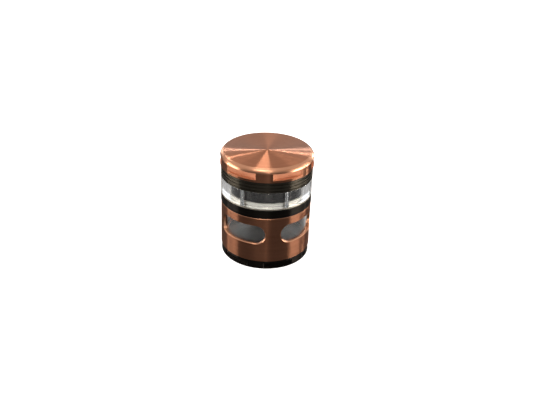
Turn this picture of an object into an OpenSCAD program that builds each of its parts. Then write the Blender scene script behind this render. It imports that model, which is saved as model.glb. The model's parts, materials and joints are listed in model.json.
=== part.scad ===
// Four-stage herb grinder, about 63 mm across and 75 mm tall.
// From the bottom: catcher, drum with a sieve, grinding chamber with a clear ring, lid.
// Origin: centre of the underside. +Z runs up the common axis. Millimetres.
// Angles are measured from -Y towards +X.

/* [Drum] */
// Outside diameter of the drum, which every other stage follows
drum_d = 61.6; // [50:0.1:80]
// Height of the drum between its two end faces
drum_h = 32.9; // [30:0.1:50]
// Wall beside the liner and the upper thread
drum_wall = 1.75; // [1.5:0.05:3]
// Wall beside the lower thread
drum_low_wall = 2.25; // [2:0.05:3]
// Number of side slots
slot_count = 4; // [3:1:5]
// Height of a slot
slot_h = 13.3; // [8:0.1:14]
// Angle that a slot covers, end to end
slot_angle = 70; // [40:1:80]
// Height of a slot's middle above the drum's lower face
slot_mid = 20.3; // [18:0.1:22]

/* [Liner] */
// Wall of the clear tube inside the drum
liner_wall = 1.5; // [1:0.1:2]

/* [Threads] */
// Height that each pair of threads engages
thread_h = 4.4; // [3:0.1:6]
// Wall of the catcher's threaded skirt
catcher_skirt_wall = 2.0; // [1.5:0.1:3]
// Wall of the tooth plate's threaded skirt
plate_skirt_wall = 1.8; // [1.2:0.1:2.5]

/* [Catcher] */
// Height of the catcher's outer band
base_h = 6.0; // [5:0.1:10]
// How far the catcher stands in from the drum
base_inset = 0.3; // [0:0.1:1]
// Thickness of the bowl's floor
bowl_floor = 2.0; // [1:0.1:3]
// Radius between the bowl's floor and wall
bowl_fillet = 2.0; // [1:0.1:3]
// Angle of the middle of one grip pocket
base_turn = -7; // [-30:1:30]

/* [Sieve] */
// Height of the seat below the ledge that holds the sieve
sieve_seat_h = 3.5; // [3:0.1:5]
// Step from the lower thread in to the sieve's seat
sieve_step = 0.55; // [0.3:0.05:1]
// Width of the ledge and of the sieve's rings
sieve_ring_w = 2.0; // [1.5:0.1:3]
// Thickness of the ledge over the sieve
ledge_h = 1.5; // [1:0.1:2.5]
// Thickness of the upper ring
sieve_frame_h = 1.5; // [1:0.1:2]
// Thickness of the lower ring
sieve_clamp_h = 1.3; // [0.8:0.1:1.5]
// Thickness of the woven screen
mesh_t = 0.2; // [0.1:0.05:0.3]

/* [Chamber] */
// How far the chamber stands out from the drum
chamber_proud = 0.2; // [0:0.1:1]
// Height of the tooth plate's outer band
band_h = 6.3; // [5.8:0.1:10]
// Thickness of the chamber's floor
floor_t = 4.8; // [4.4:0.1:6]
// Thickness of the lip at the root of the tooth plate's skirt
plate_lip = 1.2; // [0.8:0.1:2]
// Thickness of the seat ring's flange
seat_t = 0.8; // [0.5:0.1:1.5]
// Height of the seat ring's inner collar
seat_collar_h = 2.4; // [1.5:0.1:4]
// Wall of the seat ring's inner collar
seat_collar_wall = 0.8; // [0.6:0.1:1.5]
// Height of the clear ring
window_h = 11.6; // [8:0.1:18]
// Wall of the clear ring
window_wall = 5.95; // [5.5:0.05:7]
// Height of the grooved rim
rim_h = 7.5; // [7:0.1:10]
// Grooves round the rim
groove_count = 3; // [1:1:3]
// Width of a groove
groove_w = 1.1; // [0.6:0.1:1.4]
// Depth of a groove
groove_depth = 0.7; // [0.3:0.1:0.7]
// Distance from one groove to the next
groove_pitch = 2.24; // [1.8:0.02:2.3]
// Angle of the first clamp screw
chamber_turn = 2.6; // [-30:0.1:30]

/* [Screws] */
// Number of clamp screws
screw_count = 6; // [3:1:8]
// Diameter of a screw's shank
screw_d = 2.0; // [1.4:0.1:2.4]
// Distance of the screws' circle in from the chamber's side
screw_inset = 3.0; // [2.8:0.1:3.2]
// Diameter of a screw's head
screw_head_d = 3.4; // [3:0.1:3.5]
// Height of a screw's head
screw_head_h = 1.2; // [0.8:0.1:1.5]
// Depth of the pocket that a head sits in
screw_sink = 2.4; // [2.3:0.1:3]
// Length of thread in the tooth plate
screw_bite = 3.8; // [3:0.1:4]
// Wall between a screw and the space below the floor
screw_wall = 0.6; // [0.4:0.1:1]
// Width of the hexagon socket, across its corners
screw_socket = 1.7; // [1:0.1:2]

/* [Lid] */
// How far the lid stands out from the chamber
lid_proud = 0.5; // [0:0.1:1]
// Height of the lid's outer wall
lid_h = 9.6; // [9:0.1:14]
// How far the flat top stands in from the side
lid_face_inset = 2.5; // [1.5:0.1:3]
// Radius of the shoulder round the top
lid_round = 3.3; // [3.1:0.1:4]
// Thickness of the lid inside its skirt
lid_plate = 8.5; // [5:0.1:9]
// Height of the skirt that runs in the chamber
lid_skirt_h = 7.0; // [4:0.1:7]
// Wall of the skirt
lid_skirt_wall = 1.8; // [1.2:0.1:2.5]
// Height of the low-friction ring
glide_h = 1.0; // [0.6:0.1:1.5]
// Width of the low-friction ring
glide_w = 0.8; // [0.5:0.1:0.8]
// Angle of the middle of one grip pocket
lid_turn = 2.1; // [-30:0.1:30]

/* [Grip pockets] */
// Pockets round the lid and round the catcher
pocket_count = 6; // [4:1:8]
// Angle that a pocket's mouth covers
pocket_angle = 39.5; // [20:0.5:42]
// Depth of a pocket at its middle
pocket_depth = 2.5; // [2:0.1:2.8]
// How far each end of a pocket slopes in
pocket_slope = 1.0; // [0.5:0.1:1.5]
// Height of the lid's strip below its pockets
lid_ledge = 1.8; // [1:0.1:3]
// Height of the lid's pockets
lid_pocket_h = 4.6; // [3:0.1:4.6]
// Height of the catcher's strip below its pockets
base_foot = 0.9; // [0.7:0.1:1.5]
// Height of the catcher's pockets
base_pocket_h = 3.7; // [2:0.1:3.8]

/* [Teeth] */
// Width of a tooth across its middle
tooth_w = 3.0; // [2:0.1:3.2]
// Length of a tooth, point to point
tooth_l = 5.6; // [4:0.1:7]
// Distance from one ring of teeth to the next
ring_step = 3.6; // [3.4:0.1:4]
// Height of the tooth plate's teeth
plate_tooth_h = 12; // [6:0.5:14]
// Gap between the lid's teeth and the chamber's floor
tip_gap = 0.8; // [0.5:0.1:2]
// Teeth in the lid's outer ring
lid_outer_teeth = 10; // [6:1:12]
// Teeth in the lid's inner ring
lid_inner_teeth = 6; // [4:1:8]
// Teeth in the tooth plate's outer ring
plate_outer_teeth = 8; // [6:1:12]
// Teeth in the tooth plate's inner ring
plate_inner_teeth = 4; // [3:1:6]
// Drop holes in the outer ring
outer_holes = 8; // [6:1:12]
// Drop holes in the inner ring
inner_holes = 6; // [4:1:8]
// Width of a drop hole
hole_w = 3.4; // [2.5:0.1:3.4]
// Length of a drop hole
hole_l = 6.0; // [4:0.1:7]

/* [Magnets] */
// Diameter of a magnet
magnet_d = 10; // [6:0.5:10]
// Height of a magnet
magnet_h = 3; // [1.5:0.5:4]
// Gap between the two magnets
magnet_gap = 0.6; // [0.3:0.1:1.5]
// Diameter of the hubs that hold them
hub_d = 13; // [12.5:0.5:14]
// Height of the tooth plate's hub
hub_h = 5.4; // [4.5:0.1:7]

/* [Seals] */
// Thickness of the seals
seal_t = 0.6; // [0.4:0.1:0.8]
// Width of the seals that lie in grooves
seal_w = 0.8; // [0.5:0.1:0.9]
// Depth by which a groove is shallower than its seal
seal_squeeze = 0.1; // [0.05:0.05:0.15]

/* [Fits] */
// Gap between the end faces of two stages
joint_gap = 0.1; // [0.05:0.05:0.3]
// Radial clearance of a thread
thread_fit = 0.05; // [0.02:0.01:0.1]
// Radial clearance of the lid's skirt and the low-friction ring
spin_fit = 0.05; // [0.02:0.01:0.1]
// Radial clearance of pieces set into one another for good
set_fit = 0.05; // [0.02:0.01:0.1]
// Radial clearance of the screws' through holes
screw_fit = 0.3; // [0.1:0.05:0.35]
// Chamfer along the turned edges
edge = 0.25; // [0.1:0.05:0.3]

/* [Hidden] */
$fn = 96;
eps = 0.01;      // overrun of a cut past the face it leaves by
over = 5;        // overrun of a cut past the object's side
arc_steps = 12;  // chords in an eighth or quarter of a turned curve

copper = "#a8674a";
black = "#22211f";
nickel = "#c9c8c4";
clear = [0.85, 0.88, 0.9, 0.35];
nylon = "#e8e4da";
rubber = "#2c2c2e";
steel = "#9a9a9c";

// Radii
drum_r = drum_d / 2;
base_r = drum_r - base_inset;
chamber_r = drum_r + chamber_proud;
lid_r = chamber_r + lid_proud;
drum_bore_r = drum_r - drum_wall;
liner_r = drum_bore_r - set_fit;
liner_in_r = liner_r - liner_wall;
plate_skirt_r = drum_bore_r - thread_fit;
plate_skirt_in_r = plate_skirt_r - plate_skirt_wall;
low_bore_r = drum_r - drum_low_wall;
catcher_skirt_r = low_bore_r - thread_fit;
bowl_r = catcher_skirt_r - catcher_skirt_wall;
sieve_seat_r = low_bore_r - sieve_step;
ledge_in_r = sieve_seat_r - sieve_ring_w;
sieve_r = sieve_seat_r - set_fit;
window_in_r = chamber_r - window_wall;
collar_r = window_in_r - set_fit;
collar_in_r = collar_r - seat_collar_wall;
floor_r = collar_in_r - set_fit;
rim_bore_r = window_in_r - 2 * set_fit;
lid_skirt_r = rim_bore_r - spin_fit;
lid_skirt_in_r = lid_skirt_r - lid_skirt_wall;
glide_in_r = lid_skirt_r + spin_fit;
glide_r = glide_in_r + glide_w;
glide_pocket_r = glide_r + spin_fit;
screw_circle_r = chamber_r - screw_inset;
plate_bore_r = screw_circle_r - screw_d / 2 - set_fit - screw_wall;
screw_hole_r = screw_d / 2 + screw_fit;
head_pocket_r = screw_head_d / 2 + 2 * set_fit;
hub_r = hub_d / 2;
magnet_r = magnet_d / 2;
magnet_pocket_r = magnet_r + set_fit;
lid_outer_ring_r = lid_skirt_in_r - tooth_w / 2;
plate_outer_ring_r = lid_outer_ring_r - ring_step;
lid_inner_ring_r = plate_outer_ring_r - ring_step;
plate_inner_ring_r = lid_inner_ring_r - ring_step;

// Levels, bottom to top
skirt_top = base_h + thread_h;
drum_z = base_h + joint_gap;
drum_top = drum_z + drum_h;
gasket_z = skirt_top + joint_gap;
seat_bore_z = gasket_z + seal_t + joint_gap;
ledge_z = seat_bore_z + sieve_seat_h;
ledge_top = ledge_z + ledge_h;
mesh_z = ledge_z - sieve_frame_h - mesh_t;
plate_z = drum_top + joint_gap;
plate_skirt_z = plate_z - thread_h;
liner_z = ledge_top + seal_t;
liner_top = plate_skirt_z - joint_gap - seal_t;
plate_top = plate_z + band_h;
seat_top = plate_top + seat_t;
floor_top = seat_top + seat_collar_h;
floor_z = floor_top - floor_t;
window_top = seat_top + window_h;
rim_top = window_top + rim_h;
lid_z = rim_top + joint_gap;
lid_top = lid_z + lid_h;
lid_ceiling = lid_top - lid_plate;
lid_skirt_z = lid_z - lid_skirt_h;
hub_top = floor_top + hub_h;
lid_hub_z = hub_top + magnet_gap;
head_z = rim_top - screw_sink;
slot_z = drum_z + slot_mid;

// Mean radii of the seals that lie in grooves
base_seal_r = (low_bore_r + drum_r) / 2;
chamber_seal_r = (drum_bore_r + drum_r) / 2;
window_seal_r = (window_in_r + screw_circle_r - screw_hole_r) / 2;

// One ring of rectangular section
module ring(r_in, r_out, z0, z1) {
    rotate_extrude() translate([r_in, z0]) square([r_out - r_in, z1 - z0]);
}

// Copies its children round the axis, the first at a given angle
module around(count, first = 0) {
    for (i = [0:count - 1]) rotate([0, 0, first + i * 360 / count]) children();
}

// Points of an arc in the turning profile, from one angle to another
function arc(cx, cy, r, a0, a1) =
    [for (i = [0:arc_steps]) let (a = a0 + (a1 - a0) * i / arc_steps)
        [cx + r * cos(a), cy + r * sin(a)]];

// A seal that lies in a groove, and the groove that takes it
module seal(mean_r, z) {
    color(rubber) ring(mean_r - seal_w / 2, mean_r + seal_w / 2, z, z + seal_t);
}

module seal_groove(mean_r, z0, z1) {
    ring(mean_r - seal_w / 2 - set_fit, mean_r + seal_w / 2 + set_fit, z0, z1);
}

// Pointed oval column, its points along the tangent: two crossed cylinders
module oval_column(w, l, ring_r, z0, z1) {
    r = (l * l + w * w) / (4 * w);
    translate([0, -ring_r, z0]) intersection() {
        translate([0, r - w / 2, 0]) cylinder(r = r, h = z1 - z0);
        translate([0, w / 2 - r, 0]) cylinder(r = r, h = z1 - z0);
    }
}

// Flat-bottomed pockets milled into the side of a stage
module grip_pockets(side_r, z0, h, first) {
    half = side_r * sin(pocket_angle / 2);
    mouth = side_r * cos(pocket_angle / 2);
    floor_y = side_r - pocket_depth;
    rise = side_r + over - floor_y;
    flare = pocket_slope * rise / (mouth - floor_y);
    around(pocket_count, first) translate([0, 0, z0]) linear_extrude(h)
        polygon([[-half + pocket_slope, -floor_y],
            [-half + pocket_slope - flare, -floor_y - rise],
            [half - pocket_slope + flare, -floor_y - rise],
            [half - pocket_slope, -floor_y]]);
}

module catcher() {
    color(black) difference() {
        rotate_extrude() polygon(concat(
            [[0, 0], [base_r - 2 * edge, 0], [base_r, 2 * edge], [base_r, base_h - edge],
                [base_r - edge, base_h], [catcher_skirt_r, base_h],
                [catcher_skirt_r, skirt_top - edge], [catcher_skirt_r - edge, skirt_top],
                [bowl_r, skirt_top]],
            arc(bowl_r - bowl_fillet, bowl_floor + bowl_fillet, bowl_fillet, 0, -90),
            [[0, bowl_floor]]));
        grip_pockets(base_r, base_foot, base_pocket_h, base_turn);
    }
}

module base_seal() {
    seal(base_seal_r, base_h);
}

module sieve_gasket() {
    color(nylon) ring(bowl_r + set_fit, catcher_skirt_r - set_fit, gasket_z, gasket_z + seal_t);
}

module sieve_clamp() {
    color(steel) ring(ledge_in_r, sieve_r, mesh_z - sieve_clamp_h, mesh_z);
}

module sieve_mesh() {
    color(nickel) translate([0, 0, mesh_z]) cylinder(r = sieve_r - edge, h = mesh_t);
}

module sieve_frame() {
    color(steel) ring(ledge_in_r, sieve_r, mesh_z + mesh_t, ledge_z);
}

// One slot: a swept middle with a round end at each side
module drum_slot() {
    end_angle = slot_angle / 2 - asin(slot_h / 2 / drum_r);
    rotate([0, 0, -90 - end_angle]) rotate_extrude(angle = 2 * end_angle)
        translate([ledge_in_r, slot_z - slot_h / 2]) square([drum_r + over - ledge_in_r, slot_h]);
    for (side = [-1, 1]) rotate([0, 0, side * end_angle]) translate([0, 0, slot_z])
        rotate([90, 0, 0]) translate([0, 0, ledge_in_r])
            cylinder(d = slot_h, h = drum_r + over - ledge_in_r);
}

module drum() {
    color(copper) difference() {
        rotate_extrude() polygon([[low_bore_r, drum_z], [drum_r - edge, drum_z],
            [drum_r, drum_z + edge], [drum_r, drum_top - edge], [drum_r - edge, drum_top],
            [drum_bore_r, drum_top], [drum_bore_r, ledge_top], [ledge_in_r, ledge_top],
            [ledge_in_r, ledge_z], [sieve_seat_r, ledge_z], [sieve_seat_r, seat_bore_z],
            [low_bore_r, seat_bore_z]]);
        seal_groove(base_seal_r, drum_z - over, base_h + seal_t - seal_squeeze + joint_gap);
        around(slot_count) drum_slot();
    }
}

module liner_bottom_seal() {
    color(rubber) ring(liner_in_r, liner_r - set_fit, ledge_top, liner_z);
}

module drum_liner() {
    color(clear) ring(liner_in_r, liner_r, liner_z, liner_top);
}

module liner_top_seal() {
    color(rubber) ring(liner_in_r, liner_r - set_fit, liner_top, liner_top + seal_t);
}

module chamber_seal() {
    seal(chamber_seal_r, drum_top);
}

// Holes that let the ground herb fall into the drum
module drop_holes() {
    z0 = floor_z - over;
    z1 = floor_top + over;
    around(outer_holes, chamber_turn)
        oval_column(hole_w, hole_l, lid_outer_ring_r, z0, z1);
    around(inner_holes, chamber_turn + 180 / inner_holes)
        oval_column(hole_w, hole_l, lid_inner_ring_r, z0, z1);
}

module tooth_plate() {
    color(black) difference() {
        rotate_extrude() polygon([[0, floor_z], [plate_bore_r, floor_z],
            [plate_bore_r, plate_z + plate_lip], [plate_skirt_in_r, plate_z + plate_lip],
            [plate_skirt_in_r, plate_skirt_z], [plate_skirt_r - edge, plate_skirt_z],
            [plate_skirt_r, plate_skirt_z + edge], [plate_skirt_r, plate_z],
            [chamber_r - edge, plate_z], [chamber_r, plate_z + edge], [chamber_r, plate_top],
            [floor_r, plate_top], [floor_r, floor_top], [0, floor_top]]);
        drop_holes();
        seal_groove(chamber_seal_r, plate_z - eps, drum_top + seal_t - seal_squeeze + joint_gap);
        seal_groove(window_seal_r, plate_top - seal_t, plate_top + eps);
        around(screw_count, chamber_turn)
            translate([0, -screw_circle_r, plate_top - screw_bite - joint_gap])
                cylinder(r = screw_d / 2 + set_fit, h = screw_bite + over);
    }
}

// Round boss that holds a magnet, open at the magnet's face
module hub(z0, z1, magnet_z) {
    difference() {
        translate([0, 0, z0]) cylinder(r = hub_r, h = z1 - z0);
        translate([0, 0, magnet_z]) cylinder(r = magnet_pocket_r, h = magnet_h + eps);
    }
}

// Teeth and hub that stand on the chamber's floor
module plate_teeth() {
    top = floor_top + plate_tooth_h;
    color(black) {
        around(plate_outer_teeth, chamber_turn + 180 / plate_outer_teeth)
            oval_column(tooth_w, tooth_l, plate_outer_ring_r, floor_top, top);
        around(plate_inner_teeth, chamber_turn)
            oval_column(tooth_w, tooth_l, plate_inner_ring_r, floor_top, top);
        hub(floor_top, hub_top, hub_top - magnet_h);
    }
}

module chamber_magnet() {
    color(nickel) translate([0, 0, hub_top - magnet_h]) cylinder(r = magnet_r, h = magnet_h);
}

module seat_seal() {
    seal(window_seal_r, plate_top - seal_t);
}

// Holes for the screws right through the chamber's clamped rings
module screw_holes() {
    around(screw_count, chamber_turn) translate([0, -screw_circle_r, plate_top - over])
        cylinder(r = screw_hole_r, h = rim_top - plate_top + 2 * over);
}

module window_seat() {
    color(nickel) difference() {
        rotate_extrude() polygon([[collar_in_r, plate_top], [chamber_r, plate_top],
            [chamber_r, seat_top], [collar_r, seat_top], [collar_r, floor_top],
            [collar_in_r, floor_top]]);
        screw_holes();
    }
}

module window_ring() {
    color(clear) difference() {
        ring(window_in_r, chamber_r, seat_top, window_top);
        screw_holes();
    }
}

module rim_seal() {
    seal(window_seal_r, window_top);
}

module chamber_rim() {
    groove_z = (window_top + rim_top) / 2 - (groove_count - 1) / 2 * groove_pitch;
    color(black) difference() {
        rotate_extrude() polygon([[rim_bore_r, window_top], [chamber_r - edge, window_top],
            [chamber_r, window_top + edge], [chamber_r, rim_top - edge],
            [chamber_r - edge, rim_top], [glide_pocket_r, rim_top],
            [glide_pocket_r, lid_z - glide_h], [rim_bore_r, lid_z - glide_h]]);
        for (i = [0:groove_count - 1]) {
            z = groove_z + i * groove_pitch;
            ring(chamber_r - groove_depth, chamber_r + over, z - groove_w / 2, z + groove_w / 2);
        }
        seal_groove(window_seal_r, window_top - eps, window_top + seal_t);
        screw_holes();
        around(screw_count, chamber_turn) translate([0, -screw_circle_r, head_z])
            cylinder(r = head_pocket_r, h = screw_sink + over);
    }
}

module clamp_screws() {
    color(steel) around(screw_count, chamber_turn) translate([0, -screw_circle_r, 0])
        difference() {
            union() {
                translate([0, 0, plate_top - screw_bite])
                    cylinder(d = screw_d, h = head_z + eps - plate_top + screw_bite);
                translate([0, 0, head_z]) cylinder(d = screw_head_d, h = screw_head_h);
            }
            translate([0, 0, head_z + screw_head_h / 3])
                cylinder(d = screw_socket, h = screw_head_h, $fn = 6);
        }
}

module glide_ring() {
    color(nylon) ring(glide_in_r, glide_r, lid_z - glide_h, lid_z);
}

// Teeth and hub that hang from the lid
module lid_teeth() {
    tip = floor_top + tip_gap;
    color(black) {
        around(lid_outer_teeth, lid_turn)
            oval_column(tooth_w, tooth_l, lid_outer_ring_r - set_fit, tip, lid_ceiling);
        around(lid_inner_teeth, lid_turn)
            oval_column(tooth_w, tooth_l, lid_inner_ring_r, tip, lid_ceiling);
        hub(lid_hub_z, lid_ceiling, lid_hub_z - eps);
    }
}

module lid() {
    round_r = lid_r - lid_round;
    round_z = lid_top - sqrt(pow(lid_round, 2) - pow(lid_round - lid_face_inset, 2));
    face_angle = acos((lid_round - lid_face_inset) / lid_round);
    color(copper) difference() {
        rotate_extrude() polygon(concat(
            [[0, lid_ceiling], [lid_skirt_in_r, lid_ceiling], [lid_skirt_in_r, lid_skirt_z],
                [lid_skirt_r - edge, lid_skirt_z], [lid_skirt_r, lid_skirt_z + edge],
                [lid_skirt_r, lid_z], [lid_r - edge, lid_z], [lid_r, lid_z + edge]],
            arc(round_r, round_z, lid_round, 0, face_angle), [[0, lid_top]]));
        grip_pockets(lid_r, lid_z + lid_ledge, lid_pocket_h, lid_turn);
    }
}

module lid_magnet() {
    color(nickel) translate([0, 0, lid_hub_z]) cylinder(r = magnet_r, h = magnet_h);
}

catcher();
base_seal();
sieve_gasket();
sieve_clamp();
sieve_mesh();
sieve_frame();
drum();
liner_bottom_seal();
drum_liner();
liner_top_seal();
chamber_seal();
tooth_plate();
plate_teeth();
chamber_magnet();
seat_seal();
window_seat();
window_ring();
rim_seal();
chamber_rim();
clamp_screws();
glide_ring();
lid();
lid_teeth();
lid_magnet();
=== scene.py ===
import math

import bmesh
import bpy
import numpy as np
from mathutils import Matrix, Vector
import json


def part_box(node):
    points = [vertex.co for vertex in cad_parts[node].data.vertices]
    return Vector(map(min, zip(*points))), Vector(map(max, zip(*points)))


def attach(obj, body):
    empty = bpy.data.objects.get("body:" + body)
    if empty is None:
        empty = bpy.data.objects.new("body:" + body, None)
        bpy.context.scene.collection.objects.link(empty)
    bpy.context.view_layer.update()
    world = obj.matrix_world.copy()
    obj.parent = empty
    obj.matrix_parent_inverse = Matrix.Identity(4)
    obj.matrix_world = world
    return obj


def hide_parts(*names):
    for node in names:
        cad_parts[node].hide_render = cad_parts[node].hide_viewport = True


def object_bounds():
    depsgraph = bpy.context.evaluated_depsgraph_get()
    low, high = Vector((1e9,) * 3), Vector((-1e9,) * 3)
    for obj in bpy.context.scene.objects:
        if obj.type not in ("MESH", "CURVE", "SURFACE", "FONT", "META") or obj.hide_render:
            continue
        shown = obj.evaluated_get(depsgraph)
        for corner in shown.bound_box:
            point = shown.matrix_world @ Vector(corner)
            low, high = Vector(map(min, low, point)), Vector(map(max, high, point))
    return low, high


# Four-stage herb grinder: turned aluminium stages, a clear grinding chamber and a clear liner.
# Shapes are worked out in millimetres round the Z axis. Angles run from -Y towards +X.
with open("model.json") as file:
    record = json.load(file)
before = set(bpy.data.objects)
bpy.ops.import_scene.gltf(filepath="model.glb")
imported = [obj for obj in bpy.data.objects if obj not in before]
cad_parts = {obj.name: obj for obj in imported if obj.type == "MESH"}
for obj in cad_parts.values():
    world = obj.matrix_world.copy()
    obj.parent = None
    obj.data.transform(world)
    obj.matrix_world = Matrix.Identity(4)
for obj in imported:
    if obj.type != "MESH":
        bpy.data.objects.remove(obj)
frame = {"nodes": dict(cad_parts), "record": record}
cadBounds = [list(corner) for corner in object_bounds()]
scene = bpy.context.scene
millimetre = 0.001


# Outer radius, lowest level and highest level of a node, in millimetres
def span(node):
    low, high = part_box(node)
    return high[0] / millimetre, low[2] / millimetre, high[2] / millimetre


# Points at an angle round the axis, a radius and a height
def place(angle, radius, height):
    a = np.radians(angle)
    a, radius, height = np.broadcast_arrays(a, radius, height)
    return np.stack([radius * np.sin(a), -radius * np.cos(a), height], axis=-1)


# Whole-turn columns at an even step, with extra angles where the shape has a corner
def columns(step, extra=()):
    even = np.arange(0, 360, step)
    every = np.unique(np.round(np.concatenate([even, np.mod(extra, 360)]), 6))
    return np.append(every, every[0] + 360)


# Profile points on an arc: centre plus radius at each angle
def arc(centreR, centreZ, radius, start, end, steps=10):
    a = np.radians(np.linspace(start, end, steps + 1))
    return [(centreR + radius * math.cos(t), centreZ + radius * math.sin(t)) for t in a]


# A bulging curve from one profile point up to another: the arc of a circle of the given radius
def bulge(start, end, radius, steps=8):
    chord = math.hypot(end[0] - start[0], end[1] - start[1])
    reach = math.sqrt(radius ** 2 - chord ** 2 / 4)
    alongR, alongZ = (end[0] - start[0]) / chord, (end[1] - start[1]) / chord
    centreR = (start[0] + end[0]) / 2 - alongZ * reach
    centreZ = (start[1] + end[1]) / 2 + alongR * reach
    first = math.degrees(math.atan2(start[1] - centreZ, start[0] - centreR))
    last = math.degrees(math.atan2(end[1] - centreZ, end[0] - centreR))
    return arc(centreR, centreZ, radius, first, last, steps)


# Faces of a grid of points, one quad between each two rows and two columns
def gridFaces(rows, cols, first):
    index = np.arange(rows * cols).reshape(rows, cols) + first
    return np.stack([index[:-1, :-1], index[:-1, 1:], index[1:, 1:], index[1:, :-1]],
                    axis=-1).reshape(-1, 4)


# How meshes are put together: distances in millimetres, angles in degrees
meshing = {"mergeWithin": 0.002, "dropBelow": 0.0001, "joinWithin": 0.001, "flatWithin": 0.5,
           "crease": 33, "breakFrom": 33, "breakSteps": 2}


# Puts a mesh in the scene on its body, with its edges broken like machined ones
def addPiece(name, mesh, body, nodes, broken=0.0, breakFrom=meshing["breakFrom"]):
    piece = bpy.data.objects.new(name, mesh)
    scene.collection.objects.link(piece)
    if broken:
        edge = piece.modifiers.new("broken edges", "BEVEL")
        edge.width = broken * millimetre
        edge.segments = meshing["breakSteps"]
        edge.limit_method = "ANGLE"
        edge.angle_limit = math.radians(breakFrom)
        edge.harden_normals = True
    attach(piece, body)
    if nodes:
        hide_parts(*nodes)


# One mesh from several grids whose edges meet. finish gives each face the number of its material
def makePiece(name, grids, materials, body, nodes, broken=0.0, finish=None,
              smooth=True, crease=meshing["crease"]):
    points = np.concatenate([g.reshape(-1, 3) for g in grids]) * millimetre
    faces = []
    first = 0
    for g in grids:
        faces.append(gridFaces(g.shape[0], g.shape[1], first))
        first += g.shape[0] * g.shape[1]
    mesh = bpy.data.meshes.new(name)
    mesh.from_pydata(points.tolist(), [], np.concatenate(faces).tolist())
    work = bmesh.new()
    work.from_mesh(mesh)
    bmesh.ops.remove_doubles(work, verts=work.verts, dist=meshing["mergeWithin"] * millimetre)
    bmesh.ops.dissolve_degenerate(work, edges=work.edges, dist=meshing["dropBelow"] * millimetre)
    bmesh.ops.recalc_face_normals(work, faces=work.faces)
    work.to_mesh(mesh)
    work.free()
    for material in materials:
        mesh.materials.append(material)
    if finish is not None:
        centres = np.empty(len(mesh.polygons) * 3)
        mesh.polygons.foreach_get("center", centres)
        index = finish(centres.reshape(-1, 3) / millimetre).astype(np.int32)
        mesh.polygons.foreach_set("material_index", index)
    mesh.polygons.foreach_set("use_smooth", np.full(len(mesh.polygons), smooth))
    if smooth:
        mesh.set_sharp_from_angle(angle=math.radians(crease))
    addPiece(name, mesh, body, nodes, broken)


# Linear colour of an sRGB hex value
def hexColour(text):
    parts = [int(text[i:i + 2], 16) / 255 for i in (1, 3, 5)]
    return tuple(c / 12.92 if c <= 0.04045 else ((c + 0.055) / 1.055) ** 2.4
                 for c in parts) + (1.0,)


# Adds a node: inputs are socket names with a value or another node's socket, the rest are settings
def addNode(tree, kind, inputs=None, **settings):
    node = tree.nodes.new("ShaderNode" + kind)
    for key, value in settings.items():
        setattr(node, key, value)
    for key, value in (inputs or {}).items():
        if isinstance(value, bpy.types.NodeSocket):
            tree.links.new(value, node.inputs[key])
        else:
            node.inputs[key].default_value = value
    return node


def newMaterial(name):
    material = bpy.data.materials.new(name)
    material.use_nodes = True
    material.node_tree.nodes.clear()
    return material, material.node_tree


# Noise whose grains are about a size in millimetres
def noise(tree, where, size, detail, roughness=0.5):
    return addNode(tree, "TexNoise", {"Vector": where, "Scale": 1 / (size * millimetre),
                                      "Detail": detail, "Roughness": roughness}).outputs[0]


# first times second plus third, on plain numbers
def timesPlus(tree, first, second, third):
    return addNode(tree, "Math", {0: first, 1: second, 2: third},
                   operation="MULTIPLY_ADD").outputs[0]


# A value's range between low and high, stretched to run from start to end
def stretch(tree, value, low, high, start=0.0, end=1.0):
    return addNode(tree, "MapRange", {0: value, 1: low, 2: high, 3: start, 4: end}).outputs[0]


def vectorMath(tree, operation, *inputs):
    return addNode(tree, "VectorMath", dict(enumerate(inputs)), operation=operation).outputs[0]


# A direction on the piece, turned with it and made one unit long
def worldWay(tree, way):
    turned = addNode(tree, "VectorTransform", {0: way}, vector_type="VECTOR",
                     convert_from="OBJECT", convert_to="WORLD")
    return vectorMath(tree, "NORMALIZE", turned.outputs[0])


def blend(tree, share, first, second):
    return addNode(tree, "Mix", {0: share, 6: first, 7: second}, data_type="RGBA").outputs[2]


# The look's two tones, mixed by a cloudy pattern. Noise lies mostly between 0.3 and 0.7
def twoTone(tree, pattern, look):
    return blend(tree, stretch(tree, pattern, 0.3, 0.7), hexColour(look["deep"]),
                 hexColour(look["light"]))


# Roughness that wavers by the look's spread about its middle value
def waveringGloss(tree, pattern, look):
    return timesPlus(tree, pattern, look["glossSpread"], look["rough"] - look["glossSpread"] / 2)


def fineBump(tree, pattern, look):
    return addNode(tree, "Bump", {"Strength": look["bump"], "Height": pattern,
                                  "Distance": look["depth"] * millimetre}).outputs[0]


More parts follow.
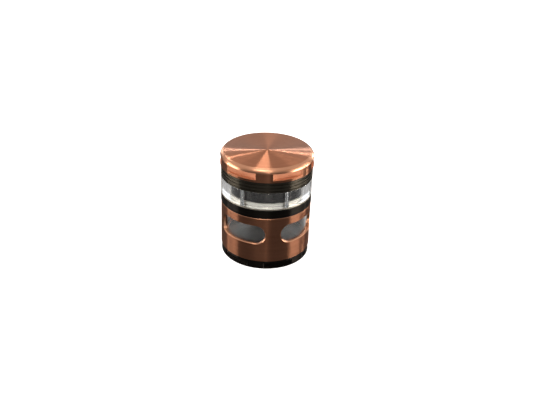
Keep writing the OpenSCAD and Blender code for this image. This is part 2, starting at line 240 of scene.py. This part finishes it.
# Turned metal. The tool leaves fine rings round the axis, so the gloss is sharp along them and
# wide across them, and bands of slightly different depth show as rings on a face or a side.
# Sizes are in millimetres: real feed marks are about 0.1 apart and are drawn coarser.
def turnedMetal(name, look):
    material, tree = newMaterial(name)
    onPiece = addNode(tree, "TexCoord").outputs["Object"]
    outward = vectorMath(tree, "MULTIPLY", onPiece, (1, 1, 0))
    radius = addNode(tree, "VectorMath", {0: outward}, operation="LENGTH").outputs["Value"]
    height = addNode(tree, "SeparateXYZ", {0: onPiece}).outputs["Z"]
    # rings are read at the radius on faces and at the height on sides
    rings = addNode(tree, "CombineXYZ", {0: radius, 1: height, 2: 0.0}).outputs[0]
    feed = noise(tree, rings, look["feed"], 3.0, 0.65)
    bands = noise(tree, rings, look["band"], 2.0)
    wear = noise(tree, onPiece, look["wear"], 5.0)
    patch = stretch(tree, wear, 0.35, 0.75, 0.0, look["patina"])
    worn = blend(tree, patch, twoTone(tree, bands, look), hexColour(look["stain"]))
    # the tool leaves each ring steeper on its inner flank, so faces shine as if leaning outwards
    leaning = vectorMath(tree, "MULTIPLY_ADD", worldWay(tree, outward), (look["lean"],) * 3,
                         fineBump(tree, feed, look))
    alongRings = vectorMath(tree, "CROSS_PRODUCT", onPiece, (0, 0, 1))
    shader = addNode(tree, "BsdfPrincipled", {
        "Base Color": worn, "Metallic": 1.0, "Roughness": waveringGloss(tree, feed, look),
        "Anisotropic": look["grain"], "Anisotropic Rotation": 0.25,  # sharp gloss along the rings
        "Tangent": worldWay(tree, alongRings), "Normal": vectorMath(tree, "NORMALIZE", leaning)})
    addNode(tree, "OutputMaterial", {"Surface": shader.outputs[0]})
    return material


# Surface with fine speckle: milled floors, seals, nylon, plated and wire parts
def plainSurface(name, look):
    material, tree = newMaterial(name)
    onPiece = addNode(tree, "TexCoord").outputs["Object"]
    speckle = noise(tree, onPiece, look["grainSize"], 4.0, 0.6)
    cloud = noise(tree, onPiece, look["cloudSize"], 3.0)
    shader = addNode(tree, "BsdfPrincipled", {
        "Base Color": twoTone(tree, cloud, look), "Metallic": look["metal"],
        "Roughness": waveringGloss(tree, speckle, look), "Normal": fineBump(tree, speckle, look)})
    addNode(tree, "OutputMaterial", {"Surface": shader.outputs[0]})
    return material


# Cast acrylic, turned and polished: clear, faintly cool, with fine rings and a slow waviness
# left in the polish
def clearAcrylic(name, look):
    material, tree = newMaterial(name)
    onPiece = addNode(tree, "TexCoord").outputs["Object"]
    height = addNode(tree, "SeparateXYZ", {0: onPiece}).outputs["Z"]
    rings = addNode(tree, "CombineXYZ", {0: 0.0, 1: height, 2: 0.0}).outputs[0]
    polish = noise(tree, rings, look["feed"], 2.0)
    smear = noise(tree, onPiece, look["smear"], 3.0)
    surface = timesPlus(tree, smear, look["waviness"], polish)
    shader = addNode(tree, "BsdfPrincipled", {
        "Base Color": hexColour(look["tint"]), "Transmission Weight": 1.0, "IOR": 1.49,
        "Roughness": 0.0, "Normal": fineBump(tree, surface, look)})
    addNode(tree, "OutputMaterial", {"Surface": shader.outputs[0]})
    return material


# Copper-coloured anodised aluminium, turned: rose where dark, cream where lit
copperTurned = turnedMetal("turned_copper_anodised_aluminium", {
    "deep": "#B67C60", "light": "#BE8468", "stain": "#8E604C", "patina": 0.25, "feed": 0.6,
    "band": 2.2, "wear": 12, "rough": 0.28, "glossSpread": 0.02, "grain": 1.0, "bump": 0.012,
    "depth": 0.02, "lean": 0.6})
# Shoulder, slot edges and rims are cut last with a fine tool, so their gloss is rounder; their
# tones are also painted lighter than the turned copper's, painted light standing in for the light
# these edges and the shoulder catch
fineCutCopperPaintedLighter = turnedMetal("fine_cut_copper_anodised_aluminium_painted_lighter", {
    "deep": "#CC9474", "light": "#D8A284", "stain": "#A87860", "patina": 0.2, "feed": 0.35,
    "band": 2.2, "wear": 12, "rough": 0.30, "glossSpread": 0.05, "grain": 0.4, "bump": 0.02,
    "depth": 0.02, "lean": 0.0})
# The same anodising over an end-milled floor: even and satin, without the rings
copperMilled = plainSurface("milled_copper_anodised_aluminium", {
    "deep": "#C27C5A", "light": "#CC8864", "grainSize": 0.3, "cloudSize": 4, "rough": 0.50,
    "glossSpread": 0.10, "bump": 0.15, "depth": 0.02, "metal": 0.15})
# Black anodised aluminium, turned: gunmetal highlights over near black
blackTurned = turnedMetal("turned_black_anodised_aluminium", {
    "deep": "#292725", "light": "#34312E", "stain": "#201E1D", "patina": 0.3, "feed": 0.3,
    "band": 1.8, "wear": 10, "rough": 0.31, "glossSpread": 0.05, "grain": 1.0, "bump": 0.02,
    "depth": 0.02, "lean": 0.1})
# The grooved rim: the same black anodising with its tones painted lighter, painted light standing
# in for the lamps caught on its grooves
blackRimPaintedLighter = turnedMetal("turned_black_anodised_rim_painted_lighter", {
    "deep": "#5C5850", "light": "#6A665C", "stain": "#45423C", "patina": 0.3, "feed": 0.3,
    "band": 1.8, "wear": 10, "rough": 0.30, "glossSpread": 0.04, "grain": 0.9, "bump": 0.02,
    "depth": 0.02, "lean": 0.1})
# Black anodising over an end-milled floor
blackMilled = plainSurface("milled_black_anodised_aluminium", {
    "deep": "#232120", "light": "#2C2A28", "grainSize": 0.3, "cloudSize": 4, "rough": 0.42,
    "glossSpread": 0.10, "bump": 0.15, "depth": 0.02, "metal": 1.0})
# Bright nickel on a turned ring: light, silvery, a little warm
nickelTurned = turnedMetal("turned_bright_nickel", {
    "deep": "#DAD4C6", "light": "#ECE7DA", "stain": "#B4AEA2", "patina": 0.2, "feed": 0.3,
    "band": 2, "wear": 10, "rough": 0.45, "glossSpread": 0.08, "grain": 0.5, "bump": 0.05,
    "depth": 0.02, "lean": 0.1})
# Stainless steel rings and screws, turned and left satin
steelTurned = turnedMetal("turned_stainless_steel", {
    "deep": "#B4B3B0", "light": "#C6C5C2", "stain": "#8E8C8A", "patina": 0.2, "feed": 0.3,
    "band": 2, "wear": 8, "rough": 0.26, "glossSpread": 0.08, "grain": 0.6, "bump": 0.05,
    "depth": 0.02, "lean": 0.1})
# Nickel-plated magnets: satin plating over sintered metal
magnetPlated = plainSurface("nickel_plated_magnet", {
    "deep": "#B5B1AA", "light": "#C6C2BA", "grainSize": 0.4, "cloudSize": 3, "rough": 0.28,
    "glossSpread": 0.10, "bump": 0.12, "depth": 0.02, "metal": 1.0})
# Woven stainless wire: drawn smooth, with a slow change of tone
wireSteel = plainSurface("woven_stainless_wire", {
    "deep": "#A09F9B", "light": "#B6B4AF", "grainSize": 0.3, "cloudSize": 6, "rough": 0.30,
    "glossSpread": 0.10, "bump": 0.05, "depth": 0.01, "metal": 1.0})
# Natural nylon: creamy, waxy, slightly uneven
nylonNatural = plainSurface("natural_nylon", {
    "deep": "#DDD6C6", "light": "#E9E4D8", "grainSize": 0.4, "cloudSize": 5, "rough": 0.42,
    "glossSpread": 0.08, "bump": 0.10, "depth": 0.03, "metal": 0.0})
# Silicone rubber seals: dark, matt, faintly dusty
sealRubber = plainSurface("black_silicone_rubber", {
    "deep": "#19191A", "light": "#242425", "grainSize": 0.3, "cloudSize": 4, "rough": 0.62,
    "glossSpread": 0.12, "bump": 0.15, "depth": 0.03, "metal": 0.0})
# Clear acrylic of the window ring and the liner
acrylic = clearAcrylic("polished_cast_acrylic", {
    "tint": "#F6F8FA", "feed": 0.6, "smear": 12, "waviness": 3.0, "bump": 0.06, "depth": 0.02})
slotLook = {"copper_anodised": copperTurned, "black_anodised": blackTurned,
            "clear_acrylic": acrylic, "bright_nickel": nickelTurned,
            "magnet_nickel": magnetPlated, "steel_turned": steelTurned,
            "steel_mesh": wireSteel, "nylon": nylonNatural, "seal_rubber": sealRubber}
for part in frame["record"]["subparts"]:
    data = frame["nodes"][part["node"]].data
    data.materials.clear()
    data.materials.append(slotLook[part["material_slot"]])
# the grooved rim takes the black anodising painted lighter, as painted light
frame["nodes"]["chamber_rim"].data.materials[0] = blackRimPaintedLighter
print("materials on", len(frame["nodes"]), "nodes")


# Radius of a side that has flat pockets: inside a pocket's mouth it is the straight floor in
# the middle and the straight sloping end beside it, each met by a ray from the axis
def pocketRadius(angle, side, pocket):
    step = 360 / pocket["count"]
    turn = np.radians((np.asarray(angle) - pocket["turn"] + step / 2) % step - step / 2)
    half = math.radians(pocket["mouth"] / 2)
    endX, endY = side * math.sin(half), side * math.cos(half)
    floorX, floorY = endX - pocket["slope"], side - pocket["depth"]
    runX, runY = endX - floorX, endY - floorY
    away = np.abs(turn)
    floor = floorY / np.cos(away)
    end = (floorX * runY - floorY * runX) / (np.sin(away) * runY - np.cos(away) * runX)
    inside = np.where(away < math.atan2(floorX, floorY), floor, end)
    return np.where(away < half - 1e-6, inside, side)


# Angles of every pocket's corners: its two ends and where its floor meets them
def pocketCorners(side, pocket):
    half = pocket["mouth"] / 2
    floorX = side * math.sin(math.radians(half)) - pocket["slope"]
    bend = math.degrees(math.atan2(floorX, side - pocket["depth"]))
    middles = pocket["turn"] + np.arange(pocket["count"]) * 360 / pocket["count"]
    return (middles[:, None] + np.array([-half, -bend, bend, half])).ravel()


# Turned body: each profile row (radius, level, pocketed) goes round the axis, and pocketed rows
# take the pockets' radius instead of their own
def turnedBody(profile, side, pocket, step=1.5):
    angle = columns(step, pocketCorners(side, pocket))
    rows = []
    for radius, level, pocketed in profile:
        ring = pocketRadius(angle, side, pocket) if pocketed else np.full(len(angle), radius)
        rows.append(place(angle, ring, np.full(len(angle), level)))
    return np.stack(rows)


# Where milled faces lie: from skin to reach inside the side, and clear of the pockets' levels by
# the margin. Faces within flush of a level belong to it
milled = {"skin": 0.12, "reach": 3.2, "margin": 0.1, "flush": 0.05}


def pocketFloors(centres, side, low, high):
    away = np.hypot(centres[:, 0], centres[:, 1])
    level = centres[:, 2]
    return ((away < side - milled["skin"]) & (away > side - milled["reach"])
            & (level > low + milled["margin"]) & (level < high - milled["margin"]))


# Screw threads, in millimetres; taper is the angle over which a thread runs out
thread = {"pitch": 1.5, "depth": 0.45, "foot": 0.50, "crest": 0.18, "gap": 0.05, "taper": 40,
          "root": 0.10}


# How far a thread stands out at an angle and level: a ridge with sloping flanks that climbs one
# pitch in a turn, as a share of its depth
def ridge(angle, level, startLevel, extra=0.0):
    turns = (level - startLevel) / thread["pitch"] - np.asarray(angle) / 360
    away = np.abs(turns - np.round(turns)) * thread["pitch"]
    return np.clip((thread["foot"] + extra - away) / (thread["foot"] - thread["crest"]), 0, 1)


# A threaded wall: the radius follows the ridge at each angle and level
def threadedWall(angle, radius, low, high, startLevel, rise=0.08):
    level = np.linspace(low, high, int(round(abs(high - low) / rise)) + 1)[:, None]
    a = np.broadcast_to(angle, (level.shape[0], len(angle)))
    level = np.broadcast_to(level, a.shape)
    depth = thread["depth"] + thread["gap"]
    return place(a, radius + depth * ridge(a, level, startLevel, thread["gap"]), level)


# A thread as a closed coil laid on a wall: its corners are carried along a helix, and its height
# shrinks to nothing at both ends
def threadCoil(radius, startLevel, turns, form=thread, step=3.0):
    angle = np.arange(0, turns * 360 + step / 2, step)
    fade = np.clip(np.minimum(angle, turns * 360 - angle) / form["taper"], 0, 1)
    middle = startLevel + form["pitch"] * angle / 360
    low, foot, crest = radius - form["root"], form["foot"], form["crest"]
    corners = [(low, -foot, 0), (radius, -foot, 0), (radius, -crest, 1), (radius, crest, 1),
               (radius, foot, 0), (low, foot, 0), (low, -foot, 0)]
    coil = np.stack([place(angle, r + form["depth"] * fade * up, middle + z)
                     for r, z, up in corners])
    ends = [np.stack([coil[:, i], np.broadcast_to(coil[:, i].mean(axis=0), coil[:, i].shape)])
            for i in (0, -1)]
    return [coil] + ends


# Lid: a cap with a plain skirt inside, a flat face and a round shoulder. The side is a hair
# under the node's, and the face's inner rings only keep its quads short
rimLevel = span("glide_ring")[2]
lid = {"side": span("lid")[0] - 0.002, "top": span("lid")[2], "skirtFoot": span("lid")[1],
       "skirtIn": 23.1, "skirtOut": 24.9, "ceiling": 8.5, "edge": 0.25, "faceInset": 2.5,
       "shoulderDrop": 3.2, "shoulder": 5.0, "ledge": 1.8, "pocketHeight": 4.6, "broken": 0.10,
       "innerRing": 12, "faceRings": (20, 8), "crease": 12, "shoulderFrom": 0.02}
lidPocket = {"count": 6, "mouth": 39.5, "depth": 2.5, "slope": 1.0, "turn": 2.1}


def makeLid():
    side, top, edge = lid["side"], lid["top"], lid["edge"]
    low = rimLevel + lid["ledge"]
    high = low + lid["pocketHeight"]
    ceiling = top - lid["ceiling"]
    inside = [(0, ceiling), (lid["innerRing"], ceiling), (lid["skirtIn"], ceiling),
              (lid["skirtIn"], lid["skirtFoot"]),
              (lid["skirtOut"] - edge, lid["skirtFoot"]),
              (lid["skirtOut"], lid["skirtFoot"] + edge), (lid["skirtOut"], rimLevel),
              (side - edge, rimLevel), (side, rimLevel + edge), (side, low)]
    over = bulge((side, top - lid["shoulderDrop"]), (side - lid["faceInset"], top),
                 lid["shoulder"])
    over += [(r, top) for r in lid["faceRings"]] + [(0, top)]
    profile = [(r, z, False) for r, z in inside] + [(side, low, True), (side, high, True)]
    profile += [(r, z, False) for r, z in over]

    # turned, milled and fine-cut faces: 0, 1 and 2; the fine-cut shoulder is painted lighter as
    # painted light
    def finish(centres):
        away = np.hypot(centres[:, 0], centres[:, 1])
        level = centres[:, 2]
        shoulder = (level > high + lid["shoulderFrom"]) & (away > side - lid["faceInset"])
        ledge = (np.abs(level - low) < milled["flush"]) & (away > side - milled["reach"])
        return np.where(shoulder, 2, pocketFloors(centres, side, low, high) | ledge)

    makePiece("lid_shell", [turnedBody(profile, side, lidPocket)],
              [copperTurned, copperMilled, fineCutCopperPaintedLighter], "lid", ["lid"],
              lid["broken"], finish, crease=lid["crease"])


makeLid()
print("lid made")


# Catcher: a cup with a screwed skirt and the lid's pockets round its foot
catcher = {"side": span("catcher")[0], "skirtTop": span("catcher")[2], "band": 6.0,
           "skirt": 28.5, "bowl": 26.5, "floor": 2.0, "fillet": 2.0, "edge": 0.25, "foot": 0.9,
           "pocketHeight": 3.7, "broken": 0.14, "threadStart": 7.3, "threadTurns": 1.6,
           "innerRing": 12}
catcherPocket = {"count": 6, "mouth": 39.5, "depth": 2.5, "slope": 1.0, "turn": -7.0}


def makeCatcher():
    side, edge, bowl, inner = (catcher[k] for k in ("side", "edge", "bowl", "innerRing"))
    low, high = catcher["foot"], catcher["foot"] + catcher["pocketHeight"]
    band, top, fillet = catcher["band"], catcher["skirtTop"], catcher["fillet"]
    outside = [(0, 0), (inner, 0), (side - 2 * edge, 0), (side, 2 * edge), (side, low)]
    above = [(side, high), (side, band - edge), (side - edge, band), (catcher["skirt"], band),
             (catcher["skirt"], top - edge), (catcher["skirt"] - edge, top), (bowl, top)]
    inside = arc(bowl - fillet, catcher["floor"] + fillet, fillet, 0, -90, 8)
    inside += [(inner, catcher["floor"]), (0, catcher["floor"])]
    profile = [(r, z, False) for r, z in outside] + [(side, low, True), (side, high, True)]
    profile += [(r, z, False) for r, z in above + inside]

    def finish(centres):
        return pocketFloors(centres, side, low, high)

    makePiece("catcher_cup", [turnedBody(profile, side, catcherPocket)],
              [blackTurned, blackMilled], "catcher", ["catcher"],
              catcher["broken"], finish)
    coil = threadCoil(catcher["skirt"], catcher["threadStart"], catcher["threadTurns"])
    makePiece("catcher_thread", coil, [blackTurned], "catcher", ())


makeCatcher()
print("catcher made")


# Drum: a tube with four slots, screwed inside at both ends, and the tooth plate's thread in it
drum = {"side": span("drum")[0], "low": span("drum")[1], "high": span("drum")[2],
        "bore": 29.05, "lowBore": 28.55, "seat": 28.0, "ledgeIn": 26.0, "seatLow": 11.2,
        "ledgeLow": 14.7, "ledgeHigh": 16.2, "edge": 0.25, "grooveIn": 29.225,
        "grooveOut": 30.125, "grooveTop": 6.6, "threadFoot": 6.9, "broken": 0.07, "step": 1.5,
        "edgeSkin": 0.14, "boreSkin": 0.02, "rimDrop": 0.3, "rimReach": 0.6}
slots = {"count": 4, "cover": 70, "height": 13.3, "middle": 20.3, "chamfer": 0.45,
         "frameLow": 18.0, "frameHigh": 34.6, "across": 61, "up": 25,
         "shares": (0, 0.06, 0.2, 0.36, 0.52, 0.68, 0.84, 1.0)}
plateThread = {"radius": 29.0, "start": 35.4, "turns": 2.0}


# Slot outline met by rays to the points of the cell's border: straight above and below, with a
# half circle at each end whose width shrinks as the cylinder curves away
def slotOutline(x, z, grow):
    side = drum["side"]
    half = slots["height"] / 2
    end = side * (math.radians(slots["cover"] / 2) - math.asin(half / side))
    half += grow
    length = np.hypot(x, z)
    dx, dz = np.abs(x) / length, np.abs(z) / length
    straight = half / np.maximum(dz, 1e-9)
    inside = np.maximum((dx * end) ** 2 - (end ** 2 - half ** 2), 0)
    rounded = dx * end + np.sqrt(inside)
    reach = np.where(straight * dx <= end, straight, rounded)
    px, pz = reach * dx, reach * dz
    px = np.where(px > end, end + side * np.arcsin((px - end) / side), px)
    return np.sign(x) * px, np.sign(z) * pz


# One slot with its share of the drum's wall: rings of points from the slot's outline out to the
# cell's border, on the outside, on the bore, and down the chamfer and the slot's wall
def slotCell(middleAngle):
    side, bore, cut = drum["side"], drum["bore"], slots["chamfer"]
    level = drum["low"] + slots["middle"]
    width = side * math.radians(180 / slots["count"])
    low, high = slots["frameLow"] - level, slots["frameHigh"] - level
    across = np.linspace(-width, width, slots["across"])
    up = np.linspace(low, high, slots["up"])[1:]
    x = np.concatenate([across, np.full(len(up), width), across[::-1][1:],
                        np.full(len(up), -width)])
    z = np.concatenate([np.full(len(across), low), up, np.full(len(across) - 1, high),
                        np.append(up[::-1][1:], low)])
    share = np.array(slots["shares"])[:, None]

    def on(radius, grow, shares):
        outX, outZ = slotOutline(x, z, grow)
        px, pz = outX + (x - outX) * shares, outZ + (z - outZ) * shares
        return place(middleAngle + np.degrees(px / side), radius, level + pz)

    edges = [on(side, cut, share[:1]), on(side - cut, 0.0, share[:1]), on(bore, 0.0, share[:1])]
    return [on(side, cut, share), on(bore, 0.0, share), np.concatenate(edges)]


def makeDrum():
    side, edge, low, high = drum["side"], drum["edge"], drum["low"], drum["high"]
    bore, seat, ledgeIn = drum["bore"], drum["seat"], drum["ledgeIn"]
    angle = columns(drum["step"])

    def rings(points):
        r = np.array([p[0] for p in points])[:, None]
        z = np.array([p[1] for p in points])[:, None]
        return place(angle[None, :], r, z)

    lowWall = threadedWall(angle, drum["lowBore"], drum["seatLow"], drum["threadFoot"],
                           catcher["threadStart"])
    upWall = threadedWall(angle, bore, slots["frameHigh"], high, plateThread["start"])
    ledge = rings([(bore, slots["frameLow"]), (bore, drum["ledgeHigh"]),
                   (ledgeIn, drum["ledgeHigh"]), (ledgeIn, drum["ledgeLow"]),
                   (seat, drum["ledgeLow"]), (seat, drum["seatLow"])])
    foot = rings([(drum["lowBore"], low), (drum["grooveIn"], low),
                  (drum["grooveIn"], drum["grooveTop"]), (drum["grooveOut"], drum["grooveTop"]),
                  (drum["grooveOut"], low), (side - edge, low), (side, low + edge),
                  (side, slots["frameLow"])])
    below = np.concatenate([rings([(seat, drum["seatLow"])]), lowWall, foot])
    above = np.concatenate([upWall, rings([(side - edge, high), (side, high - edge),
                                           (side, slots["frameHigh"])])])
    join = np.concatenate([rings([(bore, slots["frameHigh"])]), upWall[:1]])
    grids = [ledge, below, above, join]
    for i in range(slots["count"]):
        grids += slotCell(i * 360 / slots["count"])

    # slot edges and the top rim are fine cut and painted lighter as painted light, the rest is
    # turned
    def finish(centres):
        away = np.hypot(centres[:, 0], centres[:, 1])
        level = centres[:, 2]
        inFrame = (level > slots["frameLow"]) & (level < slots["frameHigh"])
        slotEdge = inFrame & (away < side - drum["edgeSkin"]) & (away > bore + drum["boreSkin"])
        rim = (level > high - drum["rimDrop"]) & (away > side - drum["rimReach"])
        return slotEdge | rim

    makePiece("drum_body", grids, [copperTurned, fineCutCopperPaintedLighter], "drum", ["drum"],
              drum["broken"], finish)
    coil = threadCoil(plateThread["radius"], plateThread["start"], plateThread["turns"])
    makePiece("plate_thread", coil, [blackTurned], "chamber", ())


makeDrum()
print("drum made")


# Clear ring of the chamber, and its clamp screws with their own finer thread
window = {"gap": 0.03, "broken": 0.25, "breakFrom": 40, "crease": 30}
screws = {"count": 6, "circle": 28.0, "turn": 2.6, "radius": 1.0, "low": 41.8, "high": 62.6,
          "step": 20.0, "form": {"pitch": 0.8, "depth": 0.16, "foot": 0.34, "crest": 0.10,
                                 "taper": 90, "root": 0.10}}


# Mesh of a CAD node with its loose triangles joined into whole faces
def joinedNode(node):
    work = bmesh.new()
    work.from_mesh(frame["nodes"][node].data)
    bmesh.ops.remove_doubles(work, verts=work.verts, dist=meshing["joinWithin"] * millimetre)
    bmesh.ops.dissolve_limit(work, angle_limit=math.radians(meshing["flatWithin"]),
                             verts=work.verts, edges=work.edges)
    mesh = bpy.data.meshes.new(node)
    work.to_mesh(mesh)
    work.free()
    return mesh


# The clear ring stands a hair off the metal above and below it, so its flat faces mirror light
# back inside as real polished ones do. Each level z goes to middle + (z - middle) x shrink
def makeWindow():
    mesh = joinedNode("window_ring")
    points = np.empty(len(mesh.vertices) * 3)
    mesh.vertices.foreach_get("co", points)
    points = points.reshape(-1, 3)
    low, high = points[:, 2].min(), points[:, 2].max()
    middle = (low + high) / 2
    shrink = 1 - 2 * window["gap"] * millimetre / (high - low)
    points[:, 2] = middle + (points[:, 2] - middle) * shrink
    mesh.vertices.foreach_set("co", points.ravel())
    mesh.polygons.foreach_set("use_smooth", np.ones(len(mesh.polygons), bool))
    mesh.set_sharp_from_angle(angle=math.radians(window["crease"]))
    mesh.materials.clear()
    mesh.materials.append(acrylic)
    addPiece("clear_ring", mesh, "chamber", ["window_ring"], window["broken"],
             window["breakFrom"])


# One coil, repeated round the screws' circle
def makeScrewThreads():
    form = screws["form"]
    turns = (screws["high"] - screws["low"]) / form["pitch"]
    coil = threadCoil(screws["radius"], screws["low"], turns, form, screws["step"])
    grids = []
    for i in range(screws["count"]):
        middle = place(screws["turn"] + i * 360 / screws["count"], screws["circle"], 0)
        grids += [g + middle for g in coil]
    makePiece("screw_threads", grids, [steelTurned], "chamber", ())


makeWindow()
makeScrewThreads()
print("clear ring and screws made")


# Sieve screen, drawn coarser than the real one of about 0.15 mm pitch
sieve = {"pitch": 0.8, "wire": 0.06, "weave": 0.04, "inset": 0.2,
         "radius": span("sieve_mesh")[0],
         "level": (span("sieve_mesh")[1] + span("sieve_mesh")[2]) / 2}


# Woven wires: each is a thin square tube that rises over one crossing wire and dips under the
# next, lift = weave x cos(pi x along / pitch), cut to the length of its chord across the disc
def makeSieve():
    pitch, reach = sieve["pitch"], sieve["radius"] - sieve["inset"]
    count = int(reach / pitch)
    corner = sieve["wire"] * np.array([[-1, -1], [1, -1], [1, 1], [-1, 1], [-1, -1]])
    grids = []
    for way in (0, 1):
        for i in range(-count, count + 1):
            offset = i * pitch
            half = math.sqrt(reach ** 2 - offset ** 2)
            steps = max(2, int(2 * half / (pitch / 2)))
            along = np.linspace(-half, half, steps + 1)
            lift = sieve["weave"] * np.cos(np.pi * along / pitch) * (1 if (i + way) % 2 else -1)
            sideways = offset + corner[:, :1] + 0 * along
            up = sieve["level"] + lift + corner[:, 1:]
            run = np.broadcast_to(along, up.shape)
            line = [run, sideways, up] if way == 0 else [sideways, run, up]
            grids.append(np.stack(line, axis=-1))
    makePiece("sieve_screen", grids, [wireSteel], "sieve", ["sieve_mesh"],
              smooth=False)


makeSieve()
print("sieve made")


# Camera: angles in degrees, distance from the axis and height in metres, lens in millimetres
view = {"angle": 34.8, "distance": 0.4501, "height": 0.2773, "pitch": 28.769, "roll": 1.647,
        "yaw": 0.06, "lens": 49.94, "sensor": 36}


def makeCamera():
    a = math.radians(view["angle"])
    spot = Vector((math.sin(a), -math.cos(a), 0)) * view["distance"]
    spot.z = view["height"]
    facing = math.radians(view["angle"] - view["yaw"])
    pitch, roll = math.radians(view["pitch"]), math.radians(view["roll"])
    ahead = Vector((-math.sin(facing) * math.cos(pitch), math.cos(facing) * math.cos(pitch),
                    -math.sin(pitch)))
    right = ahead.cross(Vector((0, 0, 1))).normalized()
    up = right.cross(ahead)
    across = right * math.cos(roll) + up * math.sin(roll)
    upward = across.cross(ahead)
    camera = bpy.data.objects.new("camera", bpy.data.cameras.new("camera"))
    camera.data.lens = view["lens"]
    camera.data.sensor_width = view["sensor"]
    turn = Matrix((across, upward, -ahead)).transposed()
    camera.matrix_world = Matrix.Translation(spot) @ turn.to_4x4()
    scene.collection.objects.link(camera)
    scene.camera = camera


# Soft boxes: angle from the camera's side, rise above the horizon, distance, width and height in
# metres, brightness. Wide boxes light the sides, lines make the narrow streaks, and those named
# top make the wedges on the lid's face
lampColour = "#FFF4E8"
squaredAbove = 60  # lamps higher than this have their width squared to the camera
lamps = {
    "overhead": (-90, 85.4, 0.60, 0.17, 0.07, 7),
    "overhead_front": (-13.3, 56, 0.60, 0.28, 0.05, 18),
    "right_wide": (76, 6, 0.55, 0.30, 0.24, 9),
    "right_line": (104, 6, 0.52, 0.02, 0.24, 34),
    "right_edge": (142, 1, 0.52, 0.10, 0.16, 9),
    "left_wide": (-80, 6, 0.55, 0.22, 0.24, 7),
    "left_line": (-98, 6, 0.52, 0.02, 0.24, 34),
    "left_edge": (-148, 4, 0.60, 0.13, 0.14, 3),
    "front_strip": (4, 34, 0.75, 0.016, 0.24, 20),
    "top_right_wedge": (160, 15, 0.62, 0.06, 0.05, 9),
    "top_right_line": (150, 25, 0.62, 0.015, 0.05, 50),
    "top_left_wedge": (-130, 35, 0.60, 0.03, 0.05, 30),
    "top_left_line": (-156, 22, 0.60, 0.012, 0.05, 45)}


# Each lamp faces the object's middle
def softBox(name, angle, rise, distance, width, height, glow):
    lamp = bpy.data.lights.new(name, "AREA")
    lamp.shape = "RECTANGLE"
    lamp.size = width
    lamp.size_y = height
    lamp.energy = glow * math.pi * width * height
    lamp.color = hexColour(lampColour)[:3]
    a, e = math.radians(view["angle"] + angle), math.radians(rise)
    away = Vector((math.sin(a) * math.cos(e), -math.cos(a) * math.cos(e), math.sin(e)))
    middle = Vector((0, 0, (cadBounds[0][2] + cadBounds[1][2]) / 2))
    edgeAngle = math.radians(view["angle"]) if rise > squaredAbove else a
    level = Vector((math.cos(edgeAngle), math.sin(edgeAngle), 0))
    upward = away.cross(level).normalized()
    turn = Matrix((upward.cross(away), upward, away)).transposed()
    box = bpy.data.objects.new(name, lamp)
    box.matrix_world = Matrix.Translation(middle + away * distance) @ turn.to_4x4()
    scene.collection.objects.link(box)


# Floor: white to the eye, dark in the metal's gloss, and pale in the polished acrylic's
floorLook = {"size": 3.0, "drop": 0.05, "pale": "#F4F4F4", "glow": 0.9, "mirrored": "#FAF6F2",
             "inMetal": 0.09, "inPolish": 0.42}


def makeFloor():
    size = floorLook["size"]
    mesh = bpy.data.meshes.new("floor")
    mesh.from_pydata([(-size, -size, 0), (size, -size, 0), (size, size, 0), (-size, size, 0)],
                     [], [(0, 1, 2, 3)])
    floor = bpy.data.objects.new("floor", mesh)
    floor.location.z = -floorLook["drop"] * millimetre
    scene.collection.objects.link(floor)
    material, tree = newMaterial("pale_floor")
    pale = addNode(tree, "BsdfDiffuse", {"Color": hexColour(floorLook["pale"])})
    glow = addNode(tree, "Emission", {"Color": (1, 1, 1, 1), "Strength": floorLook["glow"]})
    both = addNode(tree, "AddShader", {0: pale.outputs[0], 1: glow.outputs[0]})
    path = addNode(tree, "LightPath")
    strength = timesPlus(tree, path.outputs["Is Singular Ray"], floorLook["inPolish"],
                         floorLook["inMetal"])
    dark = addNode(tree, "Emission", {"Color": hexColour(floorLook["mirrored"]),
                                      "Strength": strength})
    mixed = addNode(tree, "MixShader", {0: path.outputs["Is Glossy Ray"], 1: both.outputs[0],
                                        2: dark.outputs[0]})
    addNode(tree, "OutputMaterial", {"Surface": mixed.outputs[0]})
    mesh.materials.append(material)


# Pale studio: white where it is seen past the object or through the clear parts. For gloss it
# is pale above and behind the object and dark on the camera's side, and paler for polish
room = {"level": 0.45, "up": 0.89, "darkFrom": -0.25, "paleFrom": 0.55, "dark": 0.035,
        "pale": 0.72, "inPolish": 0.5, "seen": 1.45, "colour": "#FFF6EE"}


def makeRoom():
    world = bpy.data.worlds.new("room")
    scene.world = world
    world.use_nodes = True
    tree = world.node_tree
    tree.nodes.clear()
    a = math.radians(view["angle"])
    pale = (-math.sin(a) * room["level"], math.cos(a) * room["level"], room["up"])
    way = addNode(tree, "TexCoord").outputs["Generated"]
    facing = addNode(tree, "VectorMath", {0: way, 1: pale}, operation="DOT_PRODUCT")
    glow = addNode(tree, "MapRange", {0: facing.outputs["Value"], 1: room["darkFrom"],
                                      2: room["paleFrom"], 3: room["dark"], 4: room["pale"]},
                   interpolation_type="SMOOTHSTEP")
    path = addNode(tree, "LightPath")
    clear = addNode(tree, "Math", {0: path.outputs["Is Camera Ray"],
                                   1: path.outputs["Is Transmission Ray"]}, operation="MAXIMUM")
    strength = timesPlus(tree, path.outputs["Is Singular Ray"], room["inPolish"],
                         glow.outputs[0])
    gloss = addNode(tree, "Background", {"Color": hexColour(room["colour"]),
                                         "Strength": strength})
    seen = addNode(tree, "Background", {"Color": (1, 1, 1, 1), "Strength": room["seen"]})
    both = addNode(tree, "MixShader", {0: clear.outputs[0], 1: gloss.outputs[0],
                                       2: seen.outputs[0]})
    addNode(tree, "OutputWorld", {"Surface": both.outputs[0]})


makeCamera()
makeFloor()
makeRoom()
for name, settings in lamps.items():
    softBox(name, *settings)
scene.view_settings.view_transform = "Standard"
print("camera, floor and lights made")
